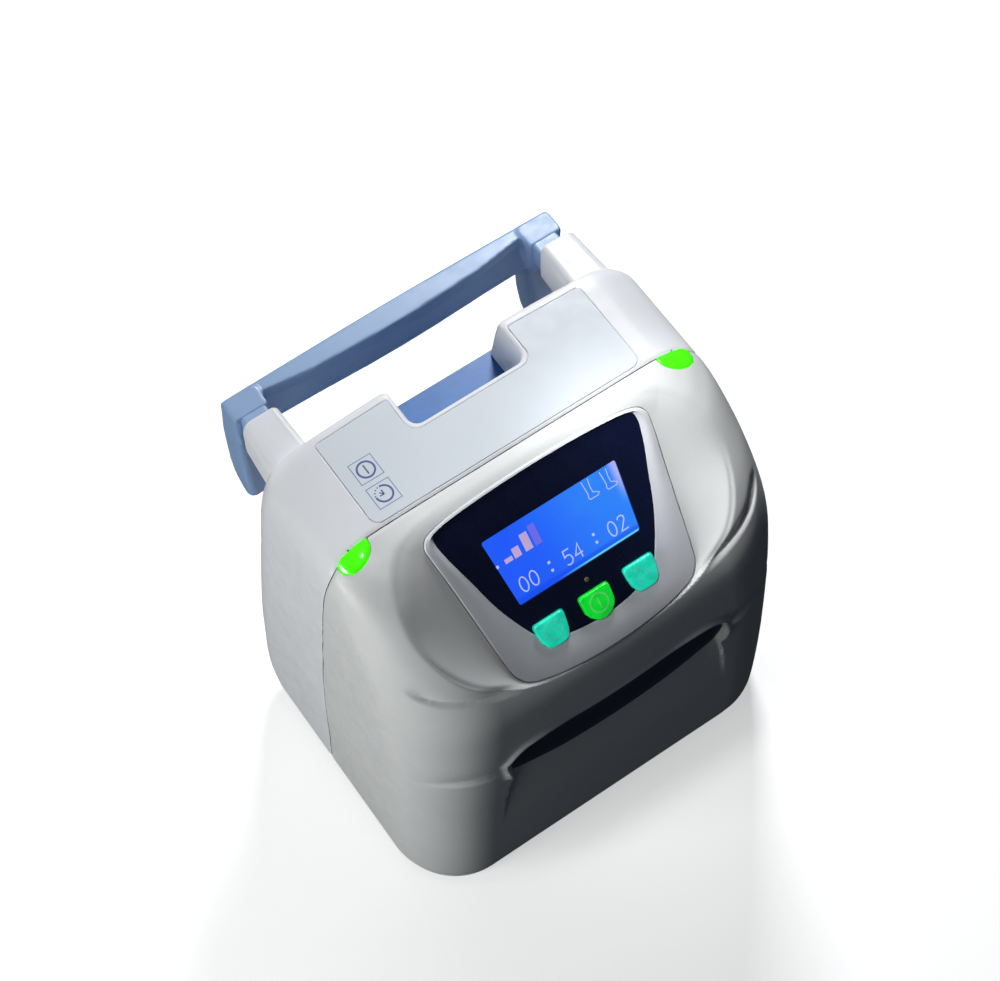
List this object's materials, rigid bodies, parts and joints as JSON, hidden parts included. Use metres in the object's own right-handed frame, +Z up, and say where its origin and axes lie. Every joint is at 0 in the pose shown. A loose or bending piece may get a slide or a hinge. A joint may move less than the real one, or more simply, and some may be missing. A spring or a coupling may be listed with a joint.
{
  "type": "compression therapy pump",
  "caption": "Bedside air pump for leg compression cuffs, with a sloping lit display, press buttons, lamp lenses and a telescoping bed hook that is also its handle.",
  "frame": {"origin": "on the surface the unit stands on, under the middle of its overall box", "axes": "+Z up, front of the unit and its display towards -Y, bed hook towards +Y, +X to the right as seen from the front"},
  "size_m": [0.1864, 0.1659, 0.2209],
  "materials": {
    "shell_white": "moulded ABS, satin",
    "shell_silver": "silver pearl paint on moulded plastic",
    "hook_blue": "blue-grey moulded nylon, satin",
    "label": "printed polycarbonate film",
    "bezel_silver": "satin silver paint",
    "overlay_navy": "gloss screen-printed film",
    "screen_blue": "backlit liquid crystal display",
    "key_teal": "translucent silicone",
    "key_green": "translucent silicone",
    "lamp_green": "translucent polycarbonate, lit",
    "rubber_black": "matte",
    "board_green": "glass-epoxy board",
    "steel": "zinc plated",
    "alloy": "cast or extruded",
    "plastic_black": "moulded",
    "tubing": "clear silicone tube",
    "brass": "plated",
    "pack_blue": "shrink sleeve"
  },
  "bodies": {
    "pump_body": {"front_shell": "shell_silver", "rear_shell": "shell_white", "rear_cover": "hook_blue", "base_plate": "shell_white", "label_plate": "label", "arm_sleeve_left": "shell_white", "arm_sleeve_right": "shell_white", "display_bezel": "bezel_silver", "display_overlay": "overlay_navy", "lcd_screen": "screen_blue", "display_board": "board_green", "key_switch_pad": "rubber_black", "status_lamp": "lamp_green", "lamp_lens_left": "lamp_green", "lamp_lens_right": "lamp_green", "front_inlay": "overlay_navy", "foot_1": "rubber_black", "foot_2": "rubber_black", "foot_3": "rubber_black", "foot_4": "rubber_black", "base_screw_1": "steel", "base_screw_2": "steel", "base_screw_3": "steel", "base_screw_4": "steel", "compressor": "alloy", "compressor_plate": "steel", "compressor_mount_1": "rubber_black", "compressor_mount_2": "rubber_black", "compressor_mount_3": "rubber_black", "compressor_mount_4": "rubber_black", "air_reservoir": "plastic_black", "valve_manifold": "plastic_black", "solenoid_valve_1": "steel", "solenoid_valve_2": "steel", "main_board": "board_green", "heat_sink": "alloy", "transformer": "steel", "battery_pack": "pack_blue", "battery_tray": "plastic_black", "buzzer": "plastic_black", "power_inlet": "plastic_black", "inlet_pin_1": "brass", "inlet_pin_2": "brass", "inlet_pin_3": "brass", "air_port_left": "shell_white", "air_port_right": "shell_white", "supply_tube": "tubing", "port_tube_left": "tubing", "port_tube_right": "tubing"},
    "hook": {"bed_hook": "hook_blue", "hook_stem_left": "alloy", "hook_stem_right": "alloy", "hook_collar_left": "shell_white", "hook_collar_right": "shell_white", "stem_stop_pin_left": "steel", "stem_stop_pin_right": "steel"},
    "key_left": {"button_left": "key_teal"},
    "key_centre": {"button_centre": "key_green"},
    "key_right": {"button_right": "key_teal"}
  },
  "joints": [
    {"name": "hook_slide", "type": "slide", "parent": "pump_body", "child": "hook", "axis": [0, 1, 0], "range_m": [0, 0.035]},
    {"name": "key_left_press", "type": "slide", "parent": "pump_body", "child": "key_left", "axis": [0, 0.6947, -0.7193], "range_m": [0, 0.0012], "stiffness_N_per_m": 1200, "springref_m": -0.0004},
    {"name": "key_centre_press", "type": "slide", "parent": "pump_body", "child": "key_centre", "axis": [0, 0.6947, -0.7193], "range_m": [0, 0.0012], "stiffness_N_per_m": 1200, "springref_m": -0.0004},
    {"name": "key_right_press", "type": "slide", "parent": "pump_body", "child": "key_right", "axis": [0, 0.6947, -0.7193], "range_m": [0, 0.0012], "stiffness_N_per_m": 1200, "springref_m": -0.0004}
  ]
}
